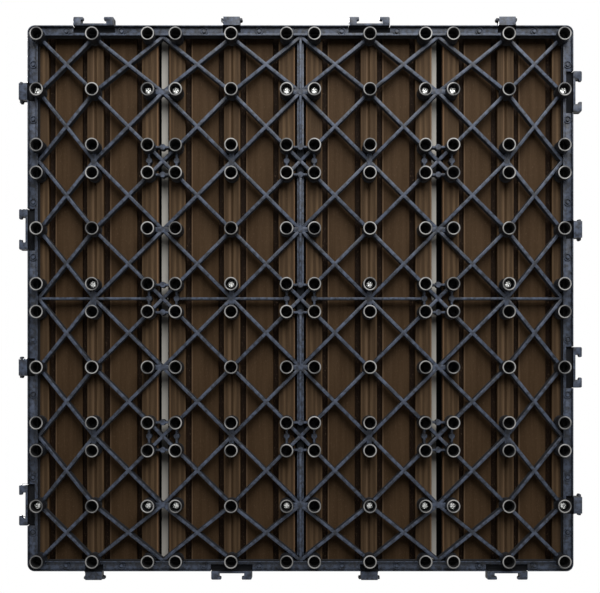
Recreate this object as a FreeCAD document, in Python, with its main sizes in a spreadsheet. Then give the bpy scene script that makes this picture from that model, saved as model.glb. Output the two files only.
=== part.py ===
import FreeCAD, Part
import os
import Sketcher

# An interlocking deck tile: four composite slats screwed onto one moulded plastic grid on legs.
# The tile stands on its legs at height zero, with the walking surface up and its middle on the Z axis.
# The slats run along Y and lie side by side along X.

# Driving sizes in millimetres, each set by itself.
SIZES = {
    # layout: the tile is four modules square, and a module is one slat with one gap
    "module_pitch": 75.0,
    "tile_gap": 3.0,
    "slat_gap": 6.0,
    "corner_radius": 4.0,
    # heights above the ground
    "seat_height": 9.5,
    "rib_underside": 5.6,
    "rim_underside": 4.5,
    "connector_underside": 4.5,
    "tongue_barb_underside": 6.8,
    # hollow legs
    "leg_spacing": 30.0,
    "leg_width": 7.2,
    "bore_width": 5.6,
    "bore_floor": 3.8,
    # ribs, webs and links of the grid
    "rib_thickness": 1.8,
    "rail_thickness": 1.5,
    "web_thickness": 3.0,
    "link_thickness": 1.4,
    "strip_width": 3.9,
    "strip_thickness": 1.5,
    # rim around the grid, with a channel along its underside
    "rim_width": 5.8,
    "rim_wall": 0.8,
    "channel_depth": 2.0,
    # pockets in the rim behind the connectors
    "pocket_depth": 3.5,
    "pocket_roof": 1.5,
    "pocket_side_room": 0.1,
    # socket: two hooks on a back plate
    "hook_opening": 13.5,
    "hook_width": 4.4,
    "hook_reach": 4.6,
    "back_plate": 1.15,
    "hook_barb": 1.25,
    "hook_barb_length": 2.0,
    "hook_barb_height": 2.2,
    "barb_slope": 0.4,
    # tongue: one block with a barb at each side
    "tongue_width": 9.4,
    "tongue_reach": 4.8,
    "tongue_barb": 1.2,
    "tongue_barb_length": 1.95,
    # slats
    "slat_thickness": 13.5,
    "land_width": 9.0,
    "groove_width": 3.0,
    "spine_width": 9.0,
    "panel_depth": 2.5,
    "side_groove_depth": 3.4,
    "spine_groove_depth": 4.5,
    "spine_notch": 0.6,
    "edge_round": 1.5,
    "lower_edge_round": 0.8,
    # screws
    "head_width": 4.4,
    "head_thickness": 2.0,
    "shank_width": 2.8,
    "shank_length": 12.0,
    "hole_clearance": 0.2,
    "pilot_clearance": 0.05,
}

# Modules along each side, and the flats that each leg, bore and screw is held to.
MODULES = 4
FLATS = 6

# Rows of legs that take screws: row of modules, and row of legs within it (-1, 0, 1).
# The near and far rows are screwed at both edges of each slat, the middle row at its spine.
SCREW_ROW_NEAR = (0, 0)
SCREW_ROW_MIDDLE = (1, 1)
SCREW_ROW_FAR = (3, 0)
# One screw of the third slat sits in the spine leg beside its usual place.
ODD_SLAT = 2

doc = FreeCAD.newDocument("deck_tile")
sheet = doc.addObject("Spreadsheet::Sheet", "Sizes")
for row, (alias, value) in enumerate(SIZES.items(), start=1):
    sheet.set(f"A{row}", alias)
    sheet.set(f"B{row}", str(value))
    sheet.setAlias(f"B{row}", alias)
doc.recompute()


def size(alias):
    """Expression that reads one driving size."""
    return f"Sizes.{alias}"


# Sizes that follow from the driving ones.
BODY_HALF = f"({MODULES} * {size('module_pitch')} - {size('tile_gap')}) / 2"
SLAT_WIDTH = f"({size('module_pitch')} - {size('slat_gap')})"
SLAT_LENGTH = f"({MODULES} * {size('module_pitch')} - {size('tile_gap')})"
RIM_INSIDE = f"({BODY_HALF} - {size('rim_width')})"
RIB_HEIGHT = f"({size('seat_height')} - {size('rib_underside')})"
HALF_CLUSTER = f"({size('module_pitch')} / 2 - {size('leg_spacing')})"
RIM_LEG_LINE = f"({(MODULES - 1) / 2} * {size('module_pitch')} + {size('leg_spacing')})"
BORE_FLOOR_UNDERSIDE = f"({size('seat_height')} - {size('bore_floor')})"
# Across corners of a regular polygon for one unit across its flats.
CORNERS_PER_FLAT = f"(1 / cos(180 deg / {FLATS}))"


# Closeness at which two points count as one, and two directions.
TOUCH = 0.01
UPRIGHT = FreeCAD.Vector(0, 0, 1)
LENGTHWAYS = FreeCAD.Vector(0, 1, 0)


def number_of(expression):
    """Value of an expression with the sizes as they stand."""
    return float(sheet.evalExpression(expression))


def bind(item, **expressions):
    """Bind properties of one object; x, y, z and turn are its place and its turn about Z."""
    paths = {
        "x": "Placement.Base.x",
        "y": "Placement.Base.y",
        "z": "Placement.Base.z",
        "turn": "Placement.Rotation.Angle",
    }
    for name, expression in expressions.items():
        item.setExpression(paths.get(name, name), str(expression))
    return item


def block(name, length, width, height, **place):
    """Box with its sizes and place bound to expressions."""
    item = doc.addObject("Part::Box", name)
    return bind(item, Length=length, Width=width, Height=height, **place)


def prism(name, across_flats, height, **place):
    """Upright round bar held to a few flats, with flats facing X and Y."""
    item = doc.addObject("Part::Prism", name)
    item.Polygon = FLATS
    radius = f"({across_flats}) / 2 * {CORNERS_PER_FLAT}"
    return bind(item, Circumradius=radius, Height=height, turn=f"180 / {FLATS}", **place)


def wall(name, start, end, thickness, height, underside, overrun="0"):
    """Upright wall from one point of the grid to another, run on past both ends."""
    (ax, ay), (bx, by) = start, end
    run = f"sqrt(({bx} - ({ax}))^2 + ({by} - ({ay}))^2)"
    turn = f"atan2({by} - ({ay}); {bx} - ({ax}))"
    back = f"({overrun})"
    side = f"({thickness}) / 2"
    return block(
        name,
        f"{run} + 2 * {back}",
        thickness,
        height,
        x=f"{ax} - {back} * cos({turn}) + {side} * sin({turn})",
        y=f"{ay} - {back} * sin({turn}) - {side} * cos({turn})",
        z=underside,
        turn=turn,
    )


def group(name, items):
    """Several objects kept as separate solids."""
    item = doc.addObject("Part::Compound", name)
    item.Links = items
    return item


def fuse(name, items, seamless=True):
    """Several objects joined into one solid."""
    item = doc.addObject("Part::MultiFuse", name)
    item.Shapes = items
    item.Refine = seamless
    return item


def cut(name, base, tool, seamless=True):
    """One shape with another taken out."""
    item = doc.addObject("Part::Cut", name)
    item.Base = base
    item.Tool = tool
    item.Refine = seamless
    return item


def module_centre(index):
    """Place of a row or column of module centres, counted from 0."""
    return f"({index - (MODULES - 1) / 2} * {size('module_pitch')})"


def leg_line(module, leg):
    """Place of a row or column of legs: leg is -1, 0 or 1 within its module."""
    return f"({module_centre(module)} + {leg} * {size('leg_spacing')})"


# The grid is alike in all four quarters, so the quarter at +X +Y is built and turned about Z.
QUARTER = range(MODULES // 2, MODULES)

# Legs: three by three hollow tubes to each module.
legs = []
bores = []
for module_x in QUARTER:
    for module_y in QUARTER:
        for leg_x in (-1, 0, 1):
            for leg_y in (-1, 0, 1):
                x = leg_line(module_x, leg_x)
                y = leg_line(module_y, leg_y)
                tag = f"{module_x}{module_y}_{leg_x + 1}{leg_y + 1}"
                legs.append(prism(f"leg_{tag}", size("leg_width"), size("seat_height"), x=x, y=y))
                bores.append(prism(f"bore_{tag}", size("bore_width"), BORE_FLOOR_UNDERSIDE, x=x, y=y))


# Diagonal ribs: each module has four spokes from its middle leg and a diamond around it.
# Points of the grid are counted in half modules from the tile's middle.
def grid_point(step_x, step_y):
    """Where ribs meet; at the rim they run to the nearest leg, or to the rim between two legs."""
    between_modules = step_x % 2 == 0 and step_y % 2 == 0
    at_corner = step_x == MODULES and step_y == MODULES
    edge = RIM_INSIDE if between_modules and not at_corner else RIM_LEG_LINE
    return tuple(
        edge if step == MODULES else f"({step / 2} * {size('module_pitch')})"
        for step in (step_x, step_y)
    )


ribs = []
for module_x in QUARTER:
    for module_y in QUARTER:
        step_x = 2 * module_x + 1 - MODULES
        step_y = 2 * module_y + 1 - MODULES
        sides = ((1, 0), (0, 1), (-1, 0), (0, -1))
        for turn, (dx, dy) in enumerate(sides):
            nx, ny = sides[(turn + 1) % len(sides)]
            lines = {
                "spoke": ((step_x, step_y), (step_x + dx + nx, step_y + dy + ny)),
                "diamond": ((step_x + dx, step_y + dy), (step_x + nx, step_y + ny)),
            }
            for kind, (start, end) in lines.items():
                touches_rim = MODULES in start + end
                ribs.append(
                    wall(
                        f"{kind}_{module_x}{module_y}_{turn}",
                        grid_point(*start),
                        grid_point(*end),
                        size("rib_thickness"),
                        RIB_HEIGHT,
                        size("rib_underside"),
                        overrun=size("rib_thickness") if touches_rim else "0",
                    )
                )

# Where modules meet: short webs join two legs, and thin links join four.
webs = []
for boundary in range(MODULES // 2, MODULES):
    line = f"({boundary - MODULES / 2} * {size('module_pitch')})"
    # A quarter has only the far half of what crosses the tile's middle lines.
    near = "0" if boundary == MODULES // 2 else f"({line} - {HALF_CLUSTER})"
    far = f"({line} + {HALF_CLUSTER})"
    for module in QUARTER:
        along = module_centre(module)
        web_sizes = (size("web_thickness"), RIB_HEIGHT, size("rib_underside"))
        webs.append(wall(f"web_x_{boundary}{module}", (near, along), (far, along), *web_sizes))
        webs.append(wall(f"web_y_{boundary}{module}", (along, near), (along, far), *web_sizes))
    for other in range(MODULES // 2, MODULES):
        other_line = f"({other - MODULES / 2} * {size('module_pitch')})"
        link_sizes = (size("link_thickness"), RIB_HEIGHT, size("rib_underside"))
        for sign in ("-", "+"):
            if other == MODULES // 2 and sign == "-":
                continue
            across = f"({other_line} {sign} {HALF_CLUSTER})"
            tag = f"{boundary}{other}_{'near' if sign == '-' else 'far'}"
            webs.append(wall(f"link_x_{tag}", (near, across), (far, across), *link_sizes))
            webs.append(wall(f"link_y_{tag}", (across, near), (across, far), *link_sizes))

# Rails along both middle lines, broken inside the leg clusters; a quarter has half their thickness.
rails = []
for module in QUARTER:
    start = f"({module_centre(module)} - {size('leg_spacing')})"
    end = f"({module_centre(module)} + {size('leg_spacing')})"
    if module == MODULES - 1:
        end = f"({RIM_INSIDE} + {size('rib_thickness')})"
    length = f"{end} - {start}"
    half = f"{size('rail_thickness')} / 2"
    under = size("rib_underside")
    rails.append(block(f"rail_x_{module}", length, half, RIB_HEIGHT, x=start, z=under))
    rails.append(block(f"rail_y_{module}", half, length, RIB_HEIGHT, y=start, z=under))


def edges_at(shape, direction, **places):
    """Numbers of the straight edges along a direction whose middles lie at given places."""
    found = []
    for number, edge in enumerate(shape.Edges, start=1):
        middle = edge.CenterOfMass
        along = abs(edge.tangentAt(edge.FirstParameter).dot(direction)) > 1 - TOUCH
        if along and all(abs(abs(getattr(middle, axis)) - at) < TOUCH for axis, at in places.items()):
            found.append(number)
    return found


# Rim: a quarter of a frame with a rounded corner, and a channel let into its underside.
def corner_block(name, reach, height, corner_radius=None):
    """Square block with two sides on the middle lines, and its far corner rounded on request."""
    square = block(name, reach, reach, height, z=size("rim_underside"))
    if corner_radius is None:
        return square
    doc.recompute()
    edge = number_of(reach)
    radius = number_of(corner_radius)
    rounded = doc.addObject("Part::Fillet", f"{name}_rounded")
    rounded.Base = square
    corners = edges_at(square.Shape, UPRIGHT, x=edge, y=edge)
    rounded.Edges = [(number, radius, radius) for number in corners]
    return rounded


rim_height = f"({size('seat_height')} - {size('rim_underside')})"
rim_outer = corner_block("rim_outer", BODY_HALF, rim_height, size("corner_radius"))
rim_inner = corner_block("rim_inner", RIM_INSIDE, rim_height)
channel_outer = corner_block(
    "channel_outer",
    f"{BODY_HALF} - {size('rim_wall')}",
    size("channel_depth"),
    f"{size('corner_radius')} - {size('rim_wall')}",
)
channel_inner = corner_block(
    "channel_inner", f"{RIM_INSIDE} + {size('rim_wall')}", size("channel_depth")
)
channel = cut("channel", channel_outer, channel_inner)
rim = cut("rim", cut("rim_frame", rim_outer, rim_inner), channel)


# Connectors: drawn outlines padded once, then placed around the tile.
# Their outlines lie at the outer face of the rim, with +Y pointing away from the tile.
def draw_outline(sketch, points):
    """Closed outline of straight lines, each corner held at its place from the sheet."""
    first = sketch.GeometryCount
    count = len(points)
    places = [tuple(number_of(axis) for axis in point) for point in points]
    for i in range(count):
        start = FreeCAD.Vector(*places[i], 0)
        end = FreeCAD.Vector(*places[(i + 1) % count], 0)
        sketch.addGeometry(Part.LineSegment(start, end), False)
    for i in range(count):
        joint = Sketcher.Constraint("Coincident", first + i, 2, first + (i + 1) % count, 1)
        sketch.addConstraint(joint)
    for i in range(count):
        for kind, value, expression in zip(("DistanceX", "DistanceY"), places[i], points[i]):
            held = Sketcher.Constraint(kind, -1, 1, first + i, 1, value)
            number = sketch.addConstraint(held)
            sketch.setExpression(f"Constraints[{number}]", expression)


def outline_pad(body, name, plane_role, outlines, length, offset=None):
    """Pad of one or more closed outlines on an origin plane of the body."""
    sketch = body.newObject("Sketcher::SketchObject", f"{name}_outline")
    plane = [item for item in body.Origin.OriginFeatures if item.Role == plane_role][0]
    sketch.AttachmentSupport = (plane, "")
    sketch.MapMode = "FlatFace"
    if offset:
        sketch.setExpression("AttachmentOffset.Base.z", offset)
    for points in outlines:
        draw_outline(sketch, points)
    pad = body.newObject("PartDesign::Pad", f"{name}_pad")
    pad.Profile = sketch
    pad.setExpression("Length", length)
    return pad


def mirrored(points):
    """The same outline on the other side of X = 0."""
    return [(f"-({x})", y) for x, y in reversed(points)]


connector_height = f"({size('seat_height')} - {size('connector_underside')})"
hook_inside = f"({size('hook_opening')} / 2)"
hook_outside = f"({hook_inside} + {size('hook_width')})"

# Socket: a back plate with a hook at each end, open away from the tile.
hook_side = [
    (hook_outside, "0"),
    (hook_outside, size("hook_reach")),
    (hook_inside, size("hook_reach")),
    (hook_inside, size("back_plate")),
]
barb_root = f"({size('hook_reach')} - {size('hook_barb_length')})"
barb_tip = f"({hook_inside} - {size('hook_barb')})"
hook_nose = [
    (hook_inside, size("hook_reach")),
    (barb_tip, f"{size('hook_reach')} - {size('barb_slope')}"),
    (barb_tip, f"{barb_root} + {size('barb_slope')}"),
    (hook_inside, barb_root),
]
socket = doc.addObject("PartDesign::Body", "socket")
outline_pad(
    socket,
    "hooks",
    "XY_Plane",
    [hook_side + mirrored(hook_side)],
    connector_height,
    size("connector_underside"),
)
outline_pad(
    socket,
    "hook_noses",
    "XY_Plane",
    [hook_nose, mirrored(hook_nose)],
    size("hook_barb_height"),
    size("connector_underside"),
)

# Tongue: one block with a barb at each side, above the level of the hooks' barbs.
tongue_side = f"({size('tongue_width')} / 2)"
tongue_root = f"({size('tongue_reach')} - {size('tongue_barb_length')})"
tongue_tip = f"({tongue_side} + {size('tongue_barb')})"
tongue_block = [(tongue_side, "0"), (tongue_side, size("tongue_reach"))]
tongue_barb = [
    (tongue_side, tongue_root),
    (tongue_tip, f"{tongue_root} + {size('barb_slope')}"),
    (tongue_tip, f"{size('tongue_reach')} - {size('barb_slope')}"),
    (tongue_side, size("tongue_reach")),
]
tongue = doc.addObject("PartDesign::Body", "tongue")
outline_pad(
    tongue,
    "tongue_block",
    "XY_Plane",
    [tongue_block + mirrored(tongue_block)],
    connector_height,
    size("connector_underside"),
)
outline_pad(
    tongue,
    "tongue_barbs",
    "XY_Plane",
    [tongue_barb, mirrored(tongue_barb)],
    f"{size('seat_height')} - {size('tongue_barb_underside')}",
    size("tongue_barb_underside"),
)


# Seen from outside, each side reads tongue, socket, tongue, socket from its right end.
# A quarter holds the near half of one side and the far half of the next.
connectors = []
pockets = []
pocket_height = f"({size('seat_height')} - {size('pocket_roof')} - {size('rim_underside')})"
for module in QUARTER:
    for facing_x in (False, True):
        is_socket = (module % 2 == 1) != facing_x
        kind, half_width = (socket, hook_outside) if is_socket else (tongue, tongue_side)
        along = module_centre(module)
        tag = f"{'x' if facing_x else 'y'}{module}"
        copy = doc.addObject("App::Link", f"{kind.Name}_{tag}")
        copy.LinkedObject = kind
        half_pocket = f"({half_width} + {size('pocket_side_room')})"
        pocket_line = f"({BODY_HALF} - {size('pocket_depth')})"
        span = f"2 * {half_pocket}"
        deep = size("pocket_depth")
        if facing_x:
            bind(copy, x=BODY_HALF, y=along, turn="-90")
            pocket = block(f"pocket_{tag}", deep, span, pocket_height)
            bind(pocket, x=pocket_line, y=f"{along} - {half_pocket}")
        else:
            bind(copy, x=along, y=BODY_HALF)
            pocket = block(f"pocket_{tag}", span, deep, pocket_height)
            bind(pocket, x=f"{along} - {half_pocket}", y=pocket_line)
        connectors.append(copy)
        pockets.append(bind(pocket, z=size("rim_underside")))

# Screws: two near one end of a slat, one in the middle, two near the other end.
screw_sites = []
for slat in range(MODULES):
    row, leg = SCREW_ROW_MIDDLE
    screw_sites.append((slat, 0, row, leg))
    for row, leg in (SCREW_ROW_NEAR, SCREW_ROW_FAR):
        for side in (-1, 1):
            moved = slat == ODD_SLAT and side == -1 and (row, leg) == SCREW_ROW_FAR
            screw_sites.append((slat, 0 if moved else side, row, leg))

# The quarters in the order of their turns, by the halves of the tile that they lie in.
QUARTER_SIDES = ((True, True), (False, True), (False, False), (True, False))
screws = []
floor_holes = {sides: [] for sides in QUARTER_SIDES}
pilots = {slat: [] for slat in range(MODULES)}
for number, (slat, leg_x, row, leg_y) in enumerate(screw_sites, start=1):
    place = {"x": leg_line(slat, leg_x), "y": leg_line(row, leg_y)}
    head_underside = f"({BORE_FLOOR_UNDERSIDE} - {size('head_thickness')})"
    head = prism(
        f"head_{number}", size("head_width"), size("head_thickness"), z=head_underside, **place
    )
    shank = prism(
        f"shank_{number}",
        size("shank_width"),
        size("shank_length"),
        z=BORE_FLOOR_UNDERSIDE,
        **place,
    )
    screws.append(fuse(f"screw_{number}", [head, shank]))
    hole_width = f"{size('shank_width')} + {size('hole_clearance')}"
    floor_holes[(slat in QUARTER, row in QUARTER)].append(
        prism(
            f"floor_hole_{number}",
            hole_width,
            size("bore_floor"),
            z=BORE_FLOOR_UNDERSIDE,
            **place,
        )
    )
    pilot_width = f"{size('shank_width')} + {size('pilot_clearance')}"
    pilot_depth = f"{size('shank_length')} - {size('bore_floor')} + {size('pilot_clearance')}"
    pilots[slat].append(
        prism(f"pilot_{number}", pilot_width, pilot_depth, z=size("seat_height"), **place)
    )

# The grid is moulded as one piece: rim, connectors, ribs and legs, with the bores taken out.
open_rim = cut("open_rim", rim, group("pockets", pockets))
leg_group = group("leg_group", legs)
quarter_parts = [open_rim, leg_group] + ribs + webs + rails + connectors
solid_quarter = fuse("solid_quarter", quarter_parts, seamless=False)
quarter = cut("quarter", solid_quarter, group("bore_group", bores))
quarters = [quarter]
for turns in range(1, len(QUARTER_SIDES)):
    copy = doc.addObject("App::Link", f"quarter_turned_{turns}")
    copy.LinkedObject = quarter
    quarters.append(bind(copy, turn=90 * turns))
drilled = []
for turns, sides in enumerate(QUARTER_SIDES):
    holes = group(f"floor_holes_{turns}", floor_holes[sides])
    drilled.append(cut(f"drilled_{turns}", quarters[turns], holes, seamless=False))

# A flat strip runs from rim to rim under the gap between the two middle slats.
strip_half = f"({RIM_INSIDE} + {size('rib_thickness')})"
strip = block(
    "strip",
    size("strip_width"),
    f"2 * {strip_half}",
    size("strip_thickness"),
    x=f"-{size('strip_width')} / 2",
    y=f"-{strip_half}",
    z=f"{size('seat_height')} - {size('strip_thickness')}",
)
base_grid = fuse("base_grid", [*drilled, strip])

# Slats: extruded boards, hollowed below between two lands and a spine.
half_slat = f"({SLAT_WIDTH} / 2)"
half_spine = f"({size('spine_width')} / 2)"
panel_start = f"({half_spine} + {size('groove_width')})"
land_start = f"({half_slat} - {size('land_width')})"
panel_end = f"({land_start} - {size('groove_width')})"
half_profile = [
    (size("spine_notch"), "0"),
    (half_spine, "0"),
    (half_spine, size("spine_groove_depth")),
    (panel_start, size("spine_groove_depth")),
    (panel_start, size("panel_depth")),
    (panel_end, size("panel_depth")),
    (land_start, size("side_groove_depth")),
    (land_start, "0"),
    (half_slat, "0"),
    (half_slat, size("slat_thickness")),
]
notch = [("0", size("spine_notch"))]


def extruded_slat(index):
    """One board of the walking surface with its pilot holes."""
    body = doc.addObject("PartDesign::Body", f"slat_board_{index + 1}")
    profile = notch + half_profile + mirrored(half_profile)
    board = outline_pad(body, f"slat_profile_{index + 1}", "XZ_Plane", [profile], SLAT_LENGTH)
    board.SideType = "Symmetric"
    # The long outer edges are rounded, more above than below.
    for label, height in (("edge_round", size("slat_thickness")), ("lower_edge_round", "0")):
        doc.recompute()
        edges = edges_at(board.Shape, LENGTHWAYS, x=number_of(half_slat), z=number_of(height))
        fillet = body.newObject("PartDesign::Fillet", f"{label}_{index + 1}")
        fillet.Base = (board, [f"Edge{number}" for number in edges])
        fillet.setExpression("Radius", size(label))
        board = fillet
    bind(body, x=module_centre(index), z=size("seat_height"))
    return cut(f"slat_{index + 1}", body, group(f"pilots_{index + 1}", pilots[index]))


slats = [extruded_slat(index) for index in range(MODULES)]
screw_group = group("screws", screws)

doc.recompute()

# Every object has to be sound before a file is written.
nodes = [base_grid, *slats, screw_group]
for node in nodes:
    node.Label = node.Name
for item in doc.Objects:
    if "Invalid" in item.State or "Error" in item.State:
        raise SystemExit(f"{item.Name} did not compute")
for node in nodes:
    if node.Shape.isNull() or not node.Shape.isValid():
        raise SystemExit(f"{node.Name} is not a valid shape")

os.makedirs("parts", exist_ok=True)
for node in nodes:
    node.Shape.exportStep(f"parts/{node.Label}.step")
    print(node.Label, len(node.Shape.Solids), "solids", round(node.Shape.Volume / 1000, 2), "cm3")
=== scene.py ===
import math

import bmesh
import bpy
from mathutils import Matrix, Vector


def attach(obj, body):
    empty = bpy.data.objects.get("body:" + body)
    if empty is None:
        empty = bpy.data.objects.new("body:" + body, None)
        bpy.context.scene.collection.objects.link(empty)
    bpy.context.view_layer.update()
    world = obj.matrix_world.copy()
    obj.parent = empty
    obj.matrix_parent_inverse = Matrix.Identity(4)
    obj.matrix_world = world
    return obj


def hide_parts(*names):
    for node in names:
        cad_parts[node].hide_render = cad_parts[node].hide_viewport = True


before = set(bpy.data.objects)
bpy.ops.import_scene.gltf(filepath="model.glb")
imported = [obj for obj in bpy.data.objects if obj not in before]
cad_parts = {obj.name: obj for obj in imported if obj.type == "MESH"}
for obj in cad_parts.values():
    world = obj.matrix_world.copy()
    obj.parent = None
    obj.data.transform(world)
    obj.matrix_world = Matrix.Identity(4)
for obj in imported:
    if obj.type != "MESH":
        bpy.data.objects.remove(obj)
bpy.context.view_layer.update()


# Moulded grid base: the tile's underframe, one injection moulding in black polypropylene.
# Hollow legs stand on the ground, diagonal ribs tie them to a channelled rim, and the rim
# carries alternate hooks and tongues that clip to the next tile. Only screws are fitted to it.
MM = 0.001
MODULE_PITCH = 75.0
MODULES = range(-2, 2)
HALF_TILE = 148.5
SEAT_HEIGHT = 9.5
RIB_UNDERSIDE = 5.6
RIM_UNDERSIDE = 4.5
RIM_WIDTH = 5.8
RIM_WALL = 0.8
CHANNEL_FLOOR = 6.5
CORNER_RADIUS = 4.0
LEG_SPACING = 30.0
LEG_RADIUS = 3.8
BORE_RADIUS = 2.95
SCREWED_FLOOR = 5.7
PLAIN_FLOOR = 7.4
FLOOR_HOLE_RADIUS = 1.5
MOULD_ROUND = 0.3
THIN_WALL_ROUND = 0.15
FLOOR_ROUND = 0.05
MOULD_DRAFT = 0.12
# Share of a round's height and depth at the middle of its arc.
ARC_MIDDLE = 0.3
# Walls that cross are set this much apart in height, so that no two faces lie in one plane.
LEVEL_STEP = 0.012


def new_shells():
    """Empty mesh that gathers closed shells, drawn in millimetres."""
    return bmesh.new()


def inset_outline(outline, distance):
    """The same closed outline moved inwards; the outline runs anticlockwise."""
    moved = []
    for i, point in enumerate(outline):
        before = Vector(outline[i - 1])
        here = Vector(point)
        after = Vector(outline[(i + 1) % len(outline)])
        first = (here - before).normalized()
        second = (after - here).normalized()
        inward = Vector((-first.y, first.x)) + Vector((-second.y, second.x))
        moved.append(here + inward * distance / (1 + first.dot(second)))
    return moved


def rounded_outline(points, arc_step=math.radians(18)):
    """Closed outline with an arc at each corner, from points of (across, along, radius)."""
    outline = []
    for i, (x, y, radius) in enumerate(points):
        here = Vector((x, y))
        before = (Vector(points[i - 1][:2]) - here).normalized()
        after = (Vector(points[(i + 1) % len(points)][:2]) - here).normalized()
        half_angle = before.angle(after) / 2
        centre = here + (before + after).normalized() * radius / math.sin(half_angle)
        start = here + before * radius / math.tan(half_angle) - centre
        sweep = math.pi - 2 * half_angle
        turn = math.copysign(sweep, start.x * -before.y + start.y * before.x)
        steps = max(2, math.ceil(sweep / arc_step))
        for step in range(steps + 1):
            angle = turn * step / steps
            outline.append((
                centre.x + start.x * math.cos(angle) - start.y * math.sin(angle),
                centre.y + start.x * math.sin(angle) + start.y * math.cos(angle),
            ))
    return outline


def add_stack(shells, rings, turn=Matrix()):
    """Closed shell through rings of points, each ring joined to the next, with flat ends."""
    loops = [[shells.verts.new(turn @ Vector(point)) for point in ring] for ring in rings]
    faces = [shells.faces.new(loops[0][::-1]), shells.faces.new(loops[-1])]
    for low, high in zip(loops, loops[1:]):
        for i in range(len(low)):
            j = (i + 1) % len(low)
            faces.append(shells.faces.new((low[i], low[j], high[j], high[i])))
    return faces


def add_upright(shells, outline, underside, top, round_off=MOULD_ROUND, turn=Matrix()):
    """Wall or block of the moulding: drawn in plan, drafted, with its lower edges rounded off."""
    levels = (
        (underside, round_off + MOULD_DRAFT),
        (underside + ARC_MIDDLE * round_off, ARC_MIDDLE * round_off + MOULD_DRAFT),
        (underside + round_off, MOULD_DRAFT),
        (top, 0.0),
    )
    rings = [[(p[0], p[1], z) for p in inset_outline(outline, inset)] for z, inset in levels]
    add_stack(shells, rings, turn)


def add_turned(shells, centre, profile, segments, turn=Matrix()):
    """Round form from a closed profile of (radius, height); points on the axis close it."""
    rings = []
    for radius, height in profile:
        if radius == 0:
            rings.append([shells.verts.new(turn @ Vector((centre[0], centre[1], height)))])
            continue
        ring = []
        for i in range(segments):
            angle = math.tau * i / segments
            place = (centre[0] + radius * math.cos(angle), centre[1] + radius * math.sin(angle))
            ring.append(shells.verts.new(turn @ Vector((*place, height))))
        rings.append(ring)
    pairs = list(zip(rings, rings[1:]))
    if len(rings[0]) > 1:
        pairs.append((rings[-1], rings[0]))
    for first, second in pairs:
        for i in range(segments):
            j = (i + 1) % segments
            corners = [first[i % len(first)], first[j % len(first)]]
            corners += [second[j % len(second)], second[i % len(second)]]
            shells.faces.new(list(dict.fromkeys(corners)))


def rectangle(start, end, width):
    """Plan outline of a straight wall between two points."""
    start, end = Vector(start), Vector(end)
    along = (end - start).normalized()
    side = Vector((-along.y, along.x)) * width / 2
    return [start - side, end - side, end + side, start + side]


def box_outline(low_x, low_y, high_x, high_y):
    """Plan outline of a block with its sides along X and Y."""
    return [(low_x, low_y), (high_x, low_y), (high_x, high_y), (low_x, high_y)]


def make_piece(shells, name, material, centre=(0, 0, 0), sharp_angle=math.radians(34)):
    """Mesh object in metres from the shells, with its origin at its own centre."""
    bmesh.ops.recalc_face_normals(shells, faces=shells.faces)
    bmesh.ops.translate(shells, verts=shells.verts, vec=-Vector(centre))
    bmesh.ops.scale(shells, verts=shells.verts, vec=(MM, MM, MM))
    mesh = bpy.data.meshes.new(name)
    shells.to_mesh(mesh)
    shells.free()
    mesh.shade_smooth()
    mesh.set_sharp_from_angle(angle=sharp_angle)
    mesh.materials.append(material)
    piece = bpy.data.objects.new(name, mesh)
    piece.location = Vector(centre) * MM
    bpy.context.scene.collection.objects.link(piece)
    return piece


def module_centre(module):
    """Middle of a row or column of modules."""
    return (module + 0.5) * MODULE_PITCH


# Screws go in near both ends of every slat and once at its middle; one of them sits a leg aside.
SCREW_PLACES = [(module_centre(slat), -7.5) for slat in MODULES]
for slat in MODULES:
    for side in (-1, 1):
        SCREW_PLACES.append((module_centre(slat) + side * LEG_SPACING, -112.5))
        moved = slat == 0 and side == -1
        SCREW_PLACES.append((module_centre(slat) + (0 if moved else side * LEG_SPACING), 112.5))

grid = new_shells()

# Legs: each has a blind bore, or one with a screw hole through its floor. The profile runs down
# the outside, round the leg's end and up the bore.
LEG_SEGMENTS = 32
leg_lines = [module_centre(module) + leg * LEG_SPACING for module in MODULES for leg in (-1, 0, 1)]
for x in leg_lines:
    for y in leg_lines:
        screwed = any(abs(x - sx) < 1 and abs(y - sy) < 1 for sx, sy in SCREW_PLACES)
        inner = FLOOR_HOLE_RADIUS if screwed else 0
        floor = SCREWED_FLOOR if screwed else PLAIN_FLOOR
        add_turned(grid, (x, y), [
            (inner, SEAT_HEIGHT),
            (LEG_RADIUS, SEAT_HEIGHT),
            (LEG_RADIUS - MOULD_DRAFT, 0.35),
            (LEG_RADIUS - MOULD_DRAFT - 0.1, 0.12),
            (LEG_RADIUS - MOULD_DRAFT - 0.3, 0.0),
            (BORE_RADIUS + 0.2, 0.0),
            (BORE_RADIUS + 0.04, 0.1),
            (BORE_RADIUS, 0.3),
            (BORE_RADIUS - 2 * MOULD_DRAFT, floor),
            (inner, floor),
        ], LEG_SEGMENTS)

# Diagonal ribs: four spokes and a diamond in each module, run out to the rim at the edges.
RIB_THICKNESS = 2.2
RIB_ROUND = 0.5
RIM_LEG_LINE = module_centre(1) + LEG_SPACING
RIM_INSIDE = HALF_TILE - RIM_WIDTH
CHANNEL_INSIDE = RIM_INSIDE + RIM_WALL
CHANNEL_OUTSIDE = HALF_TILE - RIM_WALL


def rib_end(step_x, step_y):
    """Where ribs meet, in half modules from the middle, held at the rim."""
    between_modules = step_x % 2 == 0 and step_y % 2 == 0
    at_corner = abs(step_x) == 4 and abs(step_y) == 4
    edge = RIM_INSIDE if between_modules and not at_corner else RIM_LEG_LINE
    place = []
    for step in (step_x, step_y):
        place.append(math.copysign(edge, step) if abs(step) == 4 else step * MODULE_PITCH / 2)
    return Vector(place)


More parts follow.
